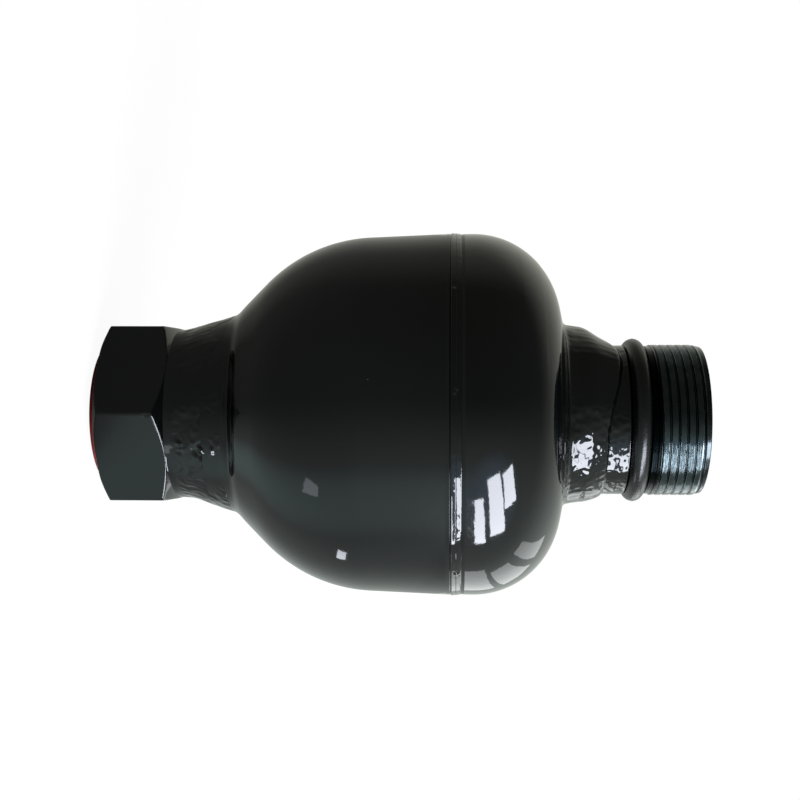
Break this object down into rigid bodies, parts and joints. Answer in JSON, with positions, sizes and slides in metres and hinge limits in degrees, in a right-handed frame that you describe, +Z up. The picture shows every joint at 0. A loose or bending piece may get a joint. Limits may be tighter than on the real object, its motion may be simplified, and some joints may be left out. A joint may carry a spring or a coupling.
{
  "type": "hydraulic accumulator",
  "caption": "Small welded diaphragm accumulator: rounded steel pressure vessel with a hexagon fluid port, a threaded gas port with a seal ring, and a weld seam around its middle.",
  "frame": {"origin": "on the vessel's axis, in the outer face of the transport plug's flange, on which the part stands", "axes": "+Z up along the vessel's axis, from the fluid port to the gas port; +X towards the side to which the gas port is set off the axis; two flats of the hexagon are square to X"},
  "size_m": [0.0674, 0.0674, 0.1112],
  "materials": {
    "black_paint": "gloss black paint over forged steel",
    "phosphated_steel": "turned steel, dark and lightly oiled",
    "nitrile_rubber": "moulded black rubber",
    "zinc_plated_steel": "zinc plated",
    "turned_steel": "turned, bare",
    "red_polyethylene": "moulded red plastic"
  },
  "bodies": {
    "vessel": {"fluid_shell": "black_paint", "gas_shell": "black_paint", "seam_weld": "black_paint", "fluid_port": "black_paint", "fluid_port_weld": "black_paint", "gas_port": "phosphated_steel", "gas_port_weld": "black_paint", "gas_port_o_ring": "nitrile_rubber", "charging_screw": "zinc_plated_steel", "charging_screw_seal": "zinc_plated_steel", "diaphragm": "nitrile_rubber", "clamping_ring": "turned_steel", "transport_plug": "red_polyethylene"},
    "disc": {"valve_disc": "turned_steel"}
  },
  "joints": [
    {"name": "disc_lift", "type": "slide", "parent": "vessel", "child": "disc", "axis": [0, 0, 1], "range_m": [0, 0.026], "stiffness_N_per_m": 100, "deforming": ["diaphragm"]}
  ]
}
